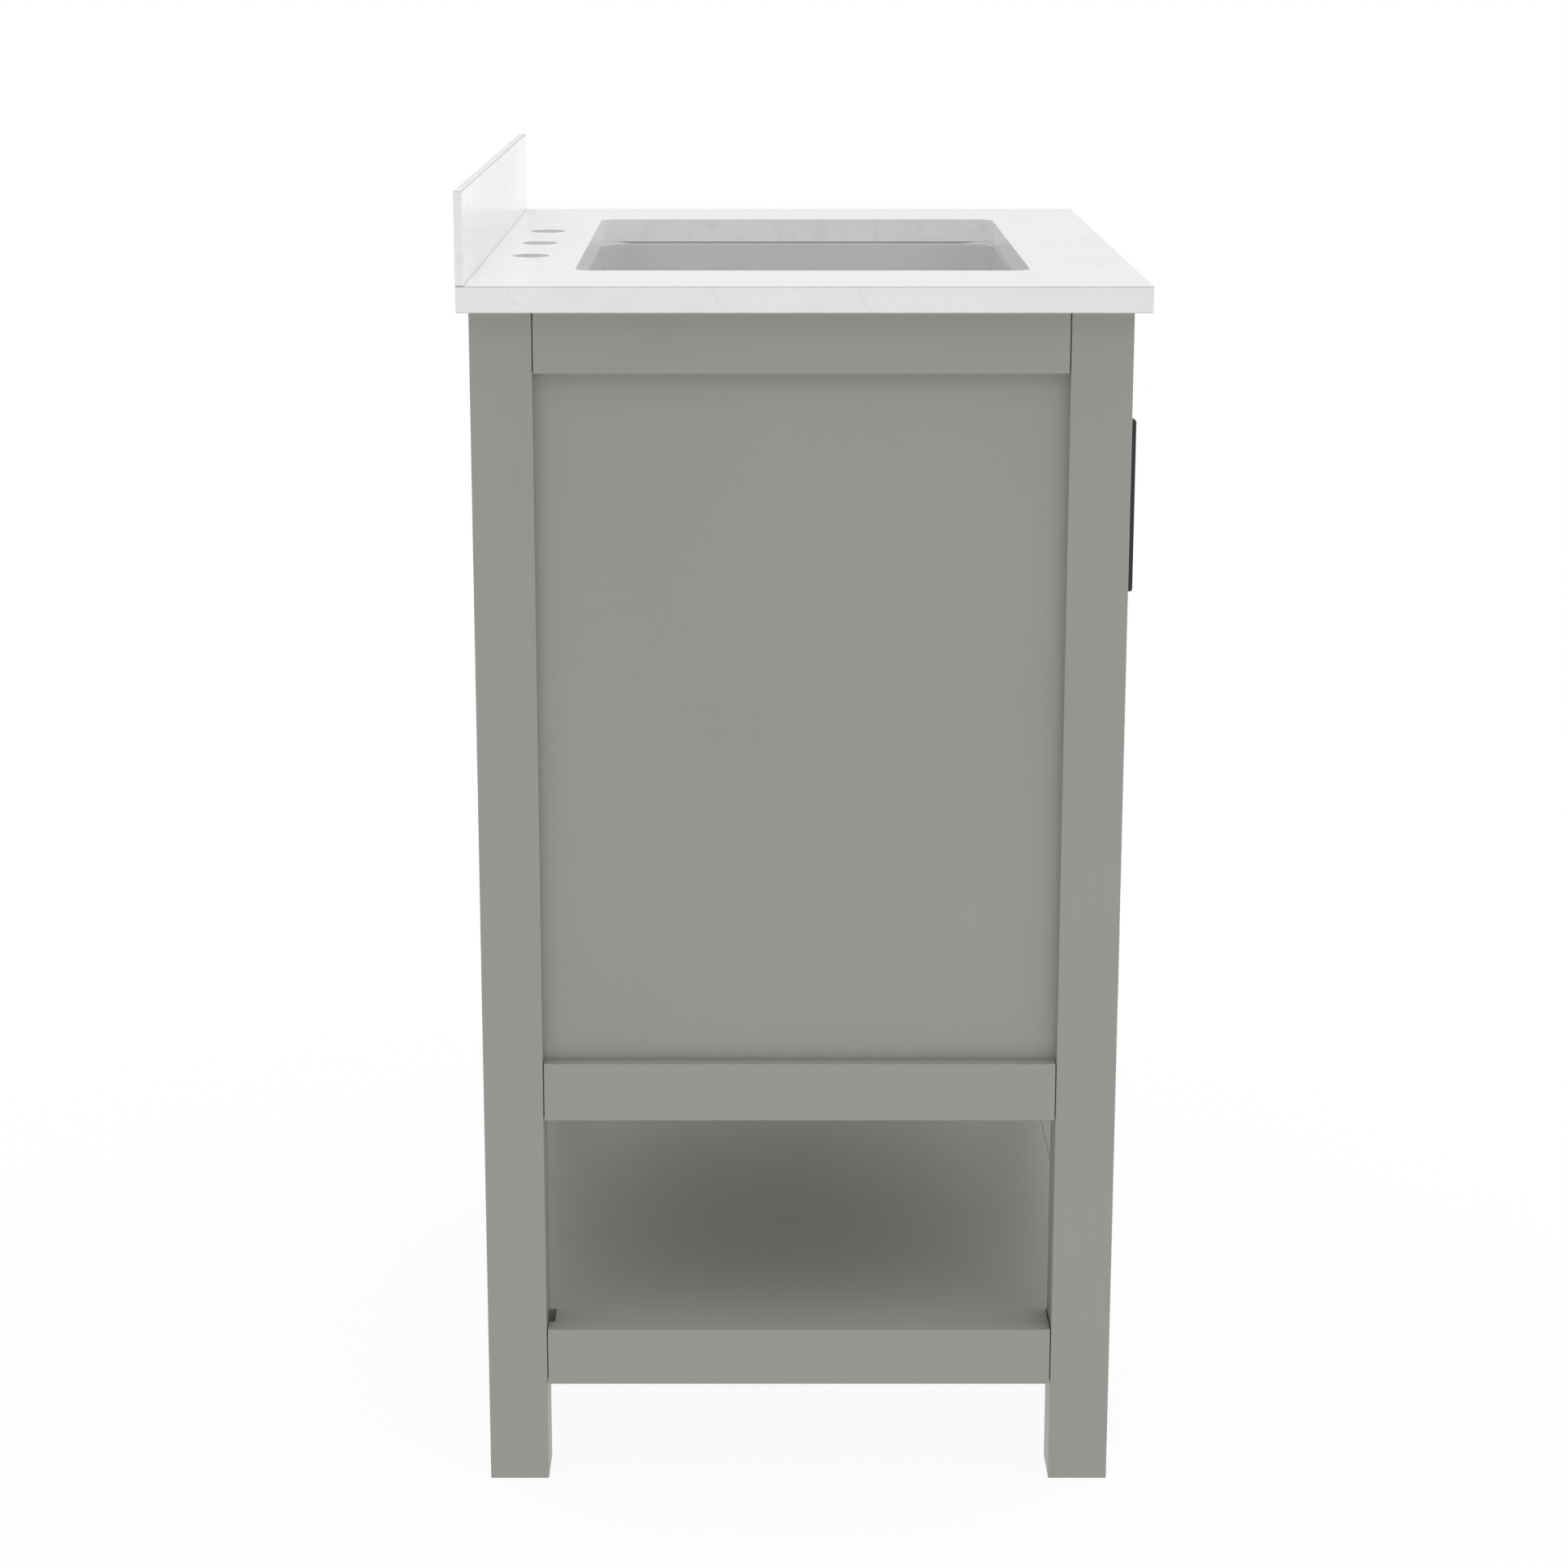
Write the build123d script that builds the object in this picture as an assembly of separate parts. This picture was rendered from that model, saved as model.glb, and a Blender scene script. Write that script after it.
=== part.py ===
from build123d import *

import os

os.makedirs("parts", exist_ok=True)

# A free-standing bathroom vanity cabinet: four legs joined by rails, framed side and back panels,
# two inset shaker doors over an open shelf, a stone counter and an undermounted basin.
# Millimetres. X runs across the width, the doors face -Y and +Z is up. The origin is on the floor,
# under the middle of the whole object.

# Counter
counter_width = 635.0
counter_depth = 478.0
counter_thick = 18.5
counter_top = 889.4
counter_round = 1.2
side_overhang = 12.7
front_overhang = 11.4
back_overhang = 7.7
splash_height = 64.5
splash_thick = 6.0
splash_round = 1.0

# Basin and its cut-out
cutout_width = 422.0
cutout_depth = 326.0
cutout_corner = 12.0
cutout_to_back = 76.0
basin_corner = 25.0
basin_depth = 140.0
basin_wall = 9.0
basin_taper = 4.0
basin_bottom_round = 26.0
basin_flange = 22.0
basin_flange_thick = 10.0
basin_lip_round = 2.5
basin_fall = 5.0
drain_radius = 22.5
drain_boss = 12.0
drain_boss_height = 6.0

# Faucet holes
faucet_hole_radius = 13.75
faucet_spacing = 101.6
faucet_to_back = 37.7

# Legs, rails and panels
leg_width = 39.0
leg_depth = 43.3
leg_round = 1.0
rail_height = 43.2
rail_thick = 15.0
rail_round = 0.8
rail_gap = 0.8
lower_rail_top = 325.3
shelf_rail_top = 118.8
tenon_length = 16.0
tenon_thick = 7.0
tenon_end_room = 0.5
panel_recess = 9.0
panel_thick = 6.0
panel_seat = 6.0
panel_room = 0.5
plumbing_width = 300.0
plumbing_height = 240.0
plumbing_bottom = 410.0
plumbing_corner = 12.0

# Boards inside
floor_thick = 12.0
shelf_thick = 15.0
shelf_back_gap = 5.0
shelf_front_gap = 0.8
board_room = 0.3
cleat_width = 15.0
cleat_height = 18.0
block_leg = 70.0
block_thick = 18.0

# Doors
door_thick = 19.0
door_gap = 3.0
door_round = 0.8
stile_width = 64.0
door_rail_height = 64.0
door_panel_recess = 6.5
door_panel_thick = 6.0
door_groove = 9.0

# Bar pulls
pull_spacing = 128.0
pull_bar = 7.3
pull_width = 9.0
pull_reach = 33.0
pull_round = 2.0
pull_below_top = 68.0
pull_screw_radius = 2.0
pull_screw_bite = 11.0
pull_head_radius = 4.5
pull_head_height = 2.6

# Butt hinges
hinge_height = 50.0
hinge_inset = 60.0
knuckle_radius = 2.3
knuckle_reach = 2.2
knuckle_gap = 0.3
leaf_thick = 1.2
leaf_depth = 15.0
pin_radius = 1.2
pin_head_radius = 2.0
pin_head_height = 1.0
hinge_screw_radius = 1.4
hinge_screw_head = 2.6
hinge_screw_length = 13.0
hinge_screw_spread = 30.0

# Magnetic catches and strikes
catch_width = 40.0
catch_depth = 14.0
catch_drop = 20.0
catch_plate = 2.0
catch_plate_height = 20.0
strike_width = 34.0
strike_height = 14.0
strike_thick = 1.2
strike_room = 0.4

# Basin clips
clip_width = 20.0
clip_thick = 2.0
clip_grip = 8.0
clip_foot = 20.0
clip_screw_radius = 2.2
clip_screw_bite = 9.0
clip_head_radius = 4.0
clip_head_height = 3.0

screw_room = 0.05

# Planes and positions that follow from the sizes above
cabinet_width = counter_width - 2 * side_overhang
cabinet_depth = counter_depth - front_overhang - back_overhang
front_reach = max(pull_reach, front_overhang)
front_y = (front_reach - cabinet_depth - back_overhang) / 2
back_y = front_y + cabinet_depth
half_width = cabinet_width / 2
opening_half = half_width - leg_width
top_z = counter_top - counter_thick
top_rail_bottom = top_z - rail_height
basin_y = back_y + back_overhang - cutout_to_back - cutout_depth / 2
faucet_y = back_y + back_overhang - faucet_to_back
door_bottom = lower_rail_top + door_gap
door_top = top_rail_bottom - door_gap
hinge_x = opening_half - door_gap / 2
hinge_y = front_y - knuckle_reach
leaf_room = door_gap / 2 - leaf_thick
clip_middle = 2 * clip_thick + clip_foot / 2
sides = (("left", -1), ("right", 1))
ends = (("front", -1), ("back", 1))


def save(part, node):
    """Write one node, whose solids keep their places."""
    part.label = node
    export_step(part, f"parts/{node}.step")


def block(corner, opposite):
    """A box between two opposite corners, given in any order."""
    low = [min(a, b) for a, b in zip(corner, opposite)]
    high = [max(a, b) for a, b in zip(corner, opposite)]
    size = [b - a for a, b in zip(low, high)]
    middle = [(a + b) / 2 for a, b in zip(low, high)]
    return Pos(*middle) * Box(*size)


def eased(part, axis, radius):
    """Round the edges that run along one axis."""
    return fillet(part.edges().filter_by(axis), radius)


def post(radius, bottom, top):
    """An upright cylinder on the Z axis."""
    return Pos(0, 0, bottom) * Cylinder(radius, top - bottom, align=(Align.CENTER, Align.CENTER, Align.MIN))


def end_y(sign):
    """The outer face of the frame at the front (-1) or the back (+1)."""
    return front_y if sign < 0 else back_y


def leg_inner_y(sign):
    """The face of a leg that looks along Y into the cabinet."""
    return end_y(sign) - sign * leg_depth


def leg_box(side, end, room=0.0):
    """The plain square outline of one leg, grown by room on the face that looks along Y."""
    return block(
        (side * half_width, end_y(end), 0),
        (side * opening_half, leg_inner_y(end) - end * room, top_z),
    )


def rail_tops():
    """The top of each of the three rails that run round the frame."""
    return {"top": top_z, "lower": lower_rail_top, "shelf": shelf_rail_top}


def tenon(start, direction, grow, across_low, across_high, top, along):
    """A rail's tenon, or the mortise for it when it grows at its end."""
    inset = panel_seat + tenon_end_room
    finish = start + direction * (tenon_length + rail_gap + grow)
    low = top - rail_height + inset
    high = top - inset
    if along == "x":
        return block((start, across_low, low), (finish, across_high, high))
    return block((across_low, start, low), (across_high, finish, high))


def side_tenon(side, end, top, grow=0.0):
    """The tenon of a side rail, which runs along Y into a leg."""
    middle = side * (half_width - rail_thick / 2)
    start = leg_inner_y(end) - end * rail_gap
    return tenon(start, end, grow, middle - tenon_thick / 2, middle + tenon_thick / 2, top, "y")


def cross_tenon(side, end, top, grow=0.0):
    """The tenon of a front or back rail, which runs along X into a leg."""
    middle = end_y(end) - end * rail_thick / 2
    start = side * (opening_half - rail_gap)
    return tenon(start, side, grow, middle - tenon_thick / 2, middle + tenon_thick / 2, top, "x")


def panel_grooves(side, end):
    """The stopped grooves that hold the side panel and, in a back leg, the back panel."""
    low = lower_rail_top - panel_seat
    high = top_rail_bottom + panel_seat
    face = side * (half_width - panel_recess)
    cuts = [
        block(
            (face, leg_inner_y(end), low),
            (face - side * panel_thick, leg_inner_y(end) + end * panel_seat, high),
        )
    ]
    if end > 0:
        back_face = back_y - panel_recess
        cuts.append(
            block(
                (side * opening_half, back_face, low),
                (side * (opening_half + panel_seat), back_face - panel_thick, high),
            )
        )
    return cuts


def hinge_heights():
    """The middle of the lower and the upper hinge."""
    return (door_bottom + hinge_inset, door_top - hinge_inset)


def countersunk(grow=0.0):
    """A flat-headed wood screw along +Z, its head's face at the origin, or the hole for it."""
    head = Cone(
        hinge_screw_head + grow,
        hinge_screw_radius + grow,
        leaf_thick,
        align=(Align.CENTER, Align.CENTER, Align.MIN),
    )
    return head + post(hinge_screw_radius + grow, leaf_thick, hinge_screw_length + grow)


def hinge_screws(side, into_leg, grow=0.0):
    """The four screws of one door's leaves on one side of the joint, in X towards the wood."""
    direction = side if into_leg else -side
    start = side * hinge_x + direction * leaf_room
    turn = Rot(0, 90, 0) if direction > 0 else Rot(0, -90, 0)
    depth = front_y + (leaf_depth + knuckle_radius) / 2
    return [
        Pos(start, depth, middle + along * hinge_screw_spread / 2) * turn * countersunk(grow)
        for middle in hinge_heights()
        for along in (-1, 1)
    ]


def make_legs():
    """Square legs from floor to counter, with rounded corners, mortises and panel grooves."""
    for side_name, side in sides:
        for end_name, end in ends:
            leg = eased(leg_box(side, end), Axis.Z, leg_round)
            leg = fillet(leg.faces().sort_by(Axis.Z)[0].edges(), leg_round * 0.6)
            for top in rail_tops().values():
                leg -= side_tenon(side, end, top, tenon_end_room)
                leg -= cross_tenon(side, end, top, tenon_end_room)
            leg -= panel_grooves(side, end)
            if end < 0:
                leg -= hinge_screws(side, True, screw_room)
            save(leg, f"leg_{end_name}_{side_name}")


def rabbeted(rail, cut_low, cut_high, name, top):
    """Cut the step for a panel's edge along the edge of a rail that faces the panel."""
    if name == "shelf":
        return rail
    edge = top - rail_height if name == "top" else top
    reach = edge + panel_seat if name == "top" else edge - panel_seat
    return rail - block((cut_low[0], cut_low[1], edge), (cut_high[0], cut_high[1], reach))


def make_side_rails():
    """Three rails on each side, between the front and the back leg."""
    low_y = leg_inner_y(-1) + rail_gap
    high_y = leg_inner_y(1) - rail_gap
    for side_name, side in sides:
        outer = side * half_width
        inner = outer - side * rail_thick
        face = outer - side * panel_recess
        for name, top in rail_tops().items():
            rail = block((outer, low_y, top), (inner, high_y, top - rail_height))
            rail = eased(rail, Axis.Y, rail_round)
            rail = rabbeted(rail, (face, low_y), (inner, high_y), name, top)
            for _, end in ends:
                rail += side_tenon(side, end, top)
            save(rail, f"side_{name}_rail_{side_name}")


def make_cross_rails():
    """Three rails at the front and three at the back, between the left and the right leg."""
    reach = opening_half - rail_gap
    for end_name, end in ends:
        outer = end_y(end)
        inner = outer - end * rail_thick
        for name, top in rail_tops().items():
            rail = block((-reach, outer, top), (reach, inner, top - rail_height))
            rail = eased(rail, Axis.X, rail_round)
            if end > 0:
                rail = rabbeted(rail, (-reach, back_y - panel_recess), (reach, inner), name, top)
            for _, side in sides:
                rail += cross_tenon(side, end, top)
            save(rail, f"{end_name}_{name}_rail")


def make_panels():
    """Thin side and back panels, set back from the rails and held in grooves."""
    low = lower_rail_top - panel_seat + panel_room
    high = top_rail_bottom + panel_seat - panel_room
    reach = panel_seat - panel_room
    for side_name, side in sides:
        face = side * (half_width - panel_recess)
        panel = block(
            (face, leg_inner_y(-1) - reach, low),
            (face - side * panel_thick, leg_inner_y(1) + reach, high),
        )
        save(panel, f"side_panel_{side_name}")
    face = back_y - panel_recess
    panel = block((-opening_half - reach, face, low), (opening_half + reach, face - panel_thick, high))
    outline = RectangleRounded(plumbing_width, plumbing_height, plumbing_corner)
    hole = Rot(90, 0, 0) * extrude(outline, panel_thick)
    panel -= Pos(0, face, plumbing_bottom + plumbing_height / 2) * hole
    save(panel, "back_panel")


def inner_board(top, thick, rooms):
    """A board that fills the frame between the rails, notched round the front and back legs."""
    reach = half_width - rail_thick
    board = block(
        (-reach, front_y + rail_thick, top),
        (reach, back_y - rail_thick, top - thick),
    )
    notches = [leg_box(side, end, room) for _, side in sides for (_, end), room in zip(ends, rooms)]
    return board - notches


def cleats(board_bottom):
    """Two strips along the side rails that carry a board."""
    outer = half_width - rail_thick
    strips = [
        block(
            (side * outer, leg_inner_y(-1) + board_room, board_bottom),
            (side * (outer - cleat_width), leg_inner_y(1) - board_room, board_bottom - cleat_height),
        )
        for _, side in sides
    ]
    return Compound(children=strips)


def make_boards():
    """The cupboard floor and the open shelf, with the cleats under them."""
    save(inner_board(lower_rail_top, floor_thick, (board_room, board_room)), "cupboard_floor")
    save(inner_board(shelf_rail_top, shelf_thick, (shelf_front_gap, shelf_back_gap)), "bottom_shelf")
    save(cleats(lower_rail_top - floor_thick), "floor_cleats")
    save(cleats(shelf_rail_top - shelf_thick), "shelf_cleats")


def make_corner_blocks():
    """Triangular blocks under the counter that square the frame and carry the stone."""
    blocks = []
    for _, side in sides:
        for _, end in ends:
            x = side * (half_width - rail_thick)
            y = end_y(end) - end * rail_thick
            outline = Polyline((x, y), (x - side * block_leg, y), (x, y - end * block_leg), close=True)
            prism = Pos(0, 0, top_z - block_thick) * extrude(make_face(outline), block_thick, dir=(0, 0, 1))
            blocks.append(prism - leg_box(side, end))
    save(Compound(children=[solid for part in blocks for solid in part.solids()]), "corner_blocks")


def at_clips(part):
    """Copies of a part, made along +X at the origin, on the flange's four edges at the counter.

    The pairs at the front and the back stand midway between the faucet holes.
    """
    reach_x = cutout_width / 2 + basin_flange
    reach_y = cutout_depth / 2 + basin_flange
    half = faucet_spacing / 2
    places = [(reach_x, 0, 0), (-reach_x, 0, 180)]
    for x in (-half, half):
        places += [(x, reach_y, 90), (x, -reach_y, 270)]
    return [Pos(x, basin_y + y, top_z) * Rot(0, 0, turn) * part for x, y, turn in places]


def clip_screw(grow=0.0):
    """The shank of a clip's screw, up into the counter, or the hole for it."""
    return Pos(clip_middle, 0, 0) * post(clip_screw_radius + grow, -clip_thick, clip_screw_bite + grow)


def make_counter():
    """A stone slab with the basin's cut-out, three faucet holes and blind screw holes below."""
    slab = block(
        (-counter_width / 2, front_y - front_overhang, counter_top),
        (counter_width / 2, back_y + back_overhang, top_z),
    )
    slab = eased(slab, Axis.Z, counter_round)
    slab = fillet(slab.faces().sort_by(Axis.Z)[-1].edges(), counter_round * 0.8)
    slab = fillet(slab.faces().sort_by(Axis.Z)[0].edges(), counter_round * 0.5)
    cutout = extrude(RectangleRounded(cutout_width, cutout_depth, cutout_corner), counter_thick)
    slab -= Pos(0, basin_y, top_z) * cutout
    for place in (-1, 0, 1):
        hole = post(faucet_hole_radius, top_z, counter_top)
        slab -= Pos(place * faucet_spacing, faucet_y, 0) * hole
    slab -= at_clips(clip_screw(screw_room))
    save(slab, "countertop")


def make_backsplash():
    """A thin upstand on the back edge of the counter."""
    outer = back_y + back_overhang
    splash = block(
        (-counter_width / 2, outer, counter_top),
        (counter_width / 2, outer - splash_thick, counter_top + splash_height),
    )
    splash = eased(splash, Axis.Z, splash_round)
    splash = fillet(splash.faces().sort_by(Axis.Z)[-1].edges(), splash_round * 0.8)
    splash = chamfer(splash.faces().sort_by(Axis.Z)[0].edges(), splash_round * 0.4)
    save(splash, "backsplash")


def bowl(grow, depth, bottom_round):
    """The basin's hollow, or its outside when grown: a rounded box that narrows downwards."""
    outline = RectangleRounded(cutout_width + 2 * grow, cutout_depth + 2 * grow, basin_corner + grow)
    solid = extrude(outline, -depth, taper=basin_taper)
    return fillet(solid.faces().sort_by(Axis.Z)[0].edges(), bottom_round)


def make_basin():
    """A rectangular basin that hangs by its flange under the counter, falling to a drain."""
    flange = extrude(
        RectangleRounded(
            cutout_width + 2 * basin_flange,
            cutout_depth + 2 * basin_flange,
            basin_corner + basin_flange,
        ),
        -basin_flange_thick,
    )
    outside = bowl(basin_wall, basin_depth + basin_wall, basin_bottom_round + basin_wall)
    boss_bottom = -basin_depth - basin_wall - drain_boss_height
    boss = post(drain_radius + drain_boss, boss_bottom, -basin_depth)
    basin = flange + outside + boss - bowl(0, basin_depth, basin_bottom_round)
    fall_radius = cutout_depth / 3
    fall = Cone(drain_radius, fall_radius, basin_fall, align=(Align.CENTER, Align.CENTER, Align.MAX))
    basin -= Pos(0, 0, -basin_depth) * fall
    basin -= post(drain_radius, boss_bottom, 0)
    rim = basin.faces().sort_by(Axis.Z)[-1].inner_wires()[0]
    basin = fillet(rim.edges(), basin_lip_round)
    save(Pos(0, basin_y, top_z) * basin, "sink_basin")


def make_clips():
    """Z-shaped clips that hold the basin's flange up against the counter, and their screws."""
    drop = -basin_flange_thick - clip_thick
    half = clip_width / 2
    foot = block((clip_thick, -half, 0), (2 * clip_thick + clip_foot, half, -clip_thick))
    riser = block((clip_thick, -half, 0), (2 * clip_thick, half, drop))
    hook = block((-clip_grip, -half, drop), (2 * clip_thick, half, -basin_flange_thick))
    clip = foot + riser + hook - clip_screw(screw_room)
    save(Compound(children=at_clips(clip)), "sink_clips")
    head = Pos(clip_middle, 0, 0) * post(clip_head_radius, -clip_thick - clip_head_height, -clip_thick)
    save(Compound(children=at_clips(clip_screw() + head)), "sink_clip_screws")


def door_block(side, near, far, low, high, front=0.0, back=door_thick):
    """A box in one door, given by distances from the cabinet's middle plane and its front face."""
    return block((side * near, front_y + front, low), (side * far, front_y + back, high))


def pull_middle(side):
    """The X of a pull, on the middle of its door's meeting stile."""
    return side * (door_gap + stile_width) / 2


def at_pull_screws(side, part):
    """Copies of a part, made along +Z at the origin, turned to face -Y at a pull's two screws."""
    upper = door_top - pull_below_top - pull_bar / 2
    back = front_y + door_thick
    return [
        Pos(pull_middle(side), back, upper - place) * Rot(90, 0, 0) * part for place in (0, pull_spacing)
    ]


def pull_shank(grow=0.0):
    """The shank of a pull's screw, through the stile and into the pull's foot, or its hole."""
    return post(pull_screw_radius + grow, 0, door_thick + pull_screw_bite + grow)


def make_door(side_name, side):
    """A shaker door of five pieces, its panel set back in grooves."""
    near = door_gap / 2
    far = opening_half - door_gap
    inner_near = near + stile_width
    inner_far = far - stile_width
    low = door_bottom + door_rail_height
    high = door_top - door_rail_height
    groove = (door_panel_recess, door_panel_recess + door_panel_thick)

    for name, outer, inner, into in (("meeting", near, inner_near, -1), ("hinge", far, inner_far, 1)):
        stile = eased(door_block(side, outer, inner, door_bottom, door_top), Axis.Z, door_round)
        stile -= door_block(side, inner, inner + into * door_groove, door_bottom, door_top, *groove)
        if name == "meeting":
            stile -= at_pull_screws(side, pull_shank(screw_room))
        else:
            stile -= hinge_screws(side, False, screw_room)
        save(stile, f"door_{side_name}_{name}_stile")

    for name, outer, inner, into in (("bottom", door_bottom, low, -1), ("top", door_top, high, 1)):
        bed = inner + into * door_groove
        rail = eased(door_block(side, inner_near, inner_far, outer, inner), Axis.X, door_round)
        rail -= door_block(side, inner_near, inner_far, inner, bed, *groove)
        rail += door_block(side, inner_near - door_groove, inner_far + door_groove, outer, bed, *groove)
        save(rail, f"door_{side_name}_{name}_rail")

    reach = door_groove - panel_room
    panel = door_block(side, inner_near - reach, inner_far + reach, low - reach, high + reach, *groove)
    save(panel, f"door_{side_name}_panel")


def make_pull(side_name, side):
    """A square-sectioned bar pull bent back to the door at both ends, with its two screws."""
    x = pull_middle(side)
    half = pull_width / 2
    top = door_top - pull_below_top
    bottom = top - pull_spacing - pull_bar
    front = front_y - pull_reach
    outer = block((x - half, front, bottom), (x + half, front_y, top))
    corners = outer.edges().filter_by(Axis.X).group_by(Axis.Y)[0]
    pull = fillet(corners, pull_round)
    pull -= block((x - half, front + pull_bar, bottom + pull_bar), (x + half, front_y, top - pull_bar))
    pull -= at_pull_screws(side, pull_shank(screw_room))
    save(pull, f"pull_{side_name}")
    screw = pull_shank() + post(pull_head_radius, -pull_head_height, 0)
    save(Compound(children=at_pull_screws(side, screw)), f"pull_screws_{side_name}")


def leaf(side, into_leg, middle):
    """One hinge leaf with its knuckles: the frame's has the outer two, the door's the middle one."""
    direction = side if into_leg else -side
    low = middle - hinge_height / 2
    third = hinge_height / 3
    axis_x = side * hinge_x
    plate = block(
        (axis_x + direction * leaf_room, hinge_y, low),
        (axis_x + direction * door_gap / 2, front_y + leaf_depth, low + hinge_height),
    )
    at_axis = Pos(axis_x, hinge_y, 0)
    for zone in range(3):
        start = low + zone * third
        if into_leg == (zone != 1):
            bottom = start + (0 if zone == 0 else knuckle_gap / 2)
            top = start + third - (0 if zone == 2 else knuckle_gap / 2)
            plate += at_axis * post(knuckle_radius, bottom, top)
        else:
            clear = post(
                knuckle_radius + knuckle_gap, start - knuckle_gap / 2, start + third + knuckle_gap / 2
            )
            plate -= at_axis * clear
    plate -= at_axis * post(pin_radius + screw_room, low, low + hinge_height)
    return plate


def make_hinges(side_name, side):
    """Two butt hinges for one door, with their pins and screws."""
    for name, into_leg in (("frame", True), ("door", False)):
        leaves = []
        for middle in hinge_heights():
            plate = leaf(side, into_leg, middle)
            plate -= hinge_screws(side, into_leg, screw_room)
            leaves += plate.solids()
        save(Compound(children=leaves), f"hinge_{name}_leaves_{side_name}")
        save(Compound(children=hinge_screws(side, into_leg)), f"hinge_{name}_screws_{side_name}")
    pins = []
    for middle in hinge_heights():
        low = middle - hinge_height / 2
        high = middle + hinge_height / 2
        pin = post(pin_radius, low - pin_head_height, high + pin_head_height)
        pin += post(pin_head_radius, low - pin_head_height, low)
        pin += post(pin_head_radius, high, high + pin_head_height)
        pins.append(Pos(side * hinge_x, hinge_y, 0) * pin)
    save(Compound(children=pins), f"hinge_pins_{side_name}")


def make_catches():
    """Magnetic catches behind the front top rail, and the steel strikes on the doors."""
    strike_back = front_y + door_thick + strike_thick
    rail_back = front_y + rail_thick
    catch_front = strike_back + strike_room
    catches = []
    for side_name, side in sides:
        x = pull_middle(side)
        low = top_rail_bottom - catch_drop
        foot = block(
            (x - catch_width / 2, rail_back, top_rail_bottom),
            (x + catch_width / 2, catch_front + catch_plate, top_rail_bottom + catch_plate_height),
        )
        magnet = block(
            (x - catch_width / 2, catch_front, low),
            (x + catch_width / 2, catch_front + catch_depth, top_rail_bottom + catch_plate),
        )
        catches.append(foot + magnet)
        middle = top_rail_bottom - catch_drop / 2
        strike = block(
            (x - strike_width / 2, front_y + door_thick, middle - strike_height / 2),
            (x + strike_width / 2, strike_back, middle + strike_height / 2),
        )
        save(eased(strike, Axis.Y, strike_height / 5), f"catch_strike_{side_name}")
    save(Compound(children=catches), "magnetic_catches")


make_legs()
make_side_rails()
make_cross_rails()
make_panels()
make_boards()
make_corner_blocks()
make_counter()
make_backsplash()
make_basin()
make_clips()
for side_name, side in sides:
    make_door(side_name, side)
    make_pull(side_name, side)
    make_hinges(side_name, side)
make_catches()
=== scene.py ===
import bmesh
import bpy
from math import radians, tan
from mathutils import Matrix, Vector


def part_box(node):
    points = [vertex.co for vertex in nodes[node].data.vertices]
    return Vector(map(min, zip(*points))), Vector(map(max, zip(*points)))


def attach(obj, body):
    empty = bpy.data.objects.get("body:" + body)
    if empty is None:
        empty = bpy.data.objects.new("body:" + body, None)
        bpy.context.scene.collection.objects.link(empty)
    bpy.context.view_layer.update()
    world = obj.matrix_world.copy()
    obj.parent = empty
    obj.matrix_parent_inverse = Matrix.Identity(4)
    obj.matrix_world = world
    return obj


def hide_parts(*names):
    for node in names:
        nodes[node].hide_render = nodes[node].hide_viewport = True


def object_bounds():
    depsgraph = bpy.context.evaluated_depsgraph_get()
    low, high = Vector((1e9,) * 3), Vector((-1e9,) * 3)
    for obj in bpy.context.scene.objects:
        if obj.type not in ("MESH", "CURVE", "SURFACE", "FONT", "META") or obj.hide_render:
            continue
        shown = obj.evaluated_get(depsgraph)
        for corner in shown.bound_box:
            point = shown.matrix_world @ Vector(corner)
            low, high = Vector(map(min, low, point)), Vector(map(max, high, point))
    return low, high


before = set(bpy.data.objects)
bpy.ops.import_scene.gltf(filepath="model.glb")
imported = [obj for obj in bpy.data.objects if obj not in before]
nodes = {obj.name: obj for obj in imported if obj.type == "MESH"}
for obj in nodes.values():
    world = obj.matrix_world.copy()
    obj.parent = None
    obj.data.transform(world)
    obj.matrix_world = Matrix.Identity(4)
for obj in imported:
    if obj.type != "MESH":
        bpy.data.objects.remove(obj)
cadLow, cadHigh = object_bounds()
mm = 0.001  # sizes below are in millimetres unless a note says otherwise
print("frame loaded:", len(nodes), "pieces")


# Small helpers

def hexToLinear(text):
    channels = [int(text[i:i + 2], 16) / 255 for i in (0, 2, 4)]
    linear = [c / 12.92 if c <= 0.04045 else ((c + 0.055) / 1.055) ** 2.4 for c in channels]
    return (*linear, 1.0)


def addNode(tree, kind, inputs={}, links={}, **settings):
    node = tree.nodes.new(kind)
    for name, value in settings.items():
        setattr(node, name, value)
    for socket, value in inputs.items():
        node.inputs[socket].default_value = value
    for socket, source in links.items():
        tree.links.new(source, node.inputs[socket])
    return node


def startMaterial(name):
    material = bpy.data.materials.new(name)
    material.use_nodes = True
    tree = material.node_tree
    tree.nodes.clear()
    place = addNode(tree, "ShaderNodeTexCoord").outputs["Object"]
    return material, tree, place


def finishMaterial(tree, inputs, colour, gloss, bump):
    shader = addNode(tree, "ShaderNodeBsdfPrincipled", inputs,
                     {"Base Color": colour.outputs[2], "Roughness": gloss.outputs[0],
                      "Normal": bump.outputs[0]})
    addNode(tree, "ShaderNodeOutputMaterial", links={"Surface": shader.outputs["BSDF"]})


def perSize(size):
    return 1 / (size * mm)  # noise scale that gives features of this many millimetres


def spread(source, target=(0.0, 1.0)):
    return {1: source[0], 2: source[1], 3: target[0], 4: target[1]}  # the four ends of a Map Range node


noiseRange = (0.3, 0.7)  # where most of a noise lies


# Materials. Each is what the real finish is, with painted shade in the colours where a comment says so.

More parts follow.
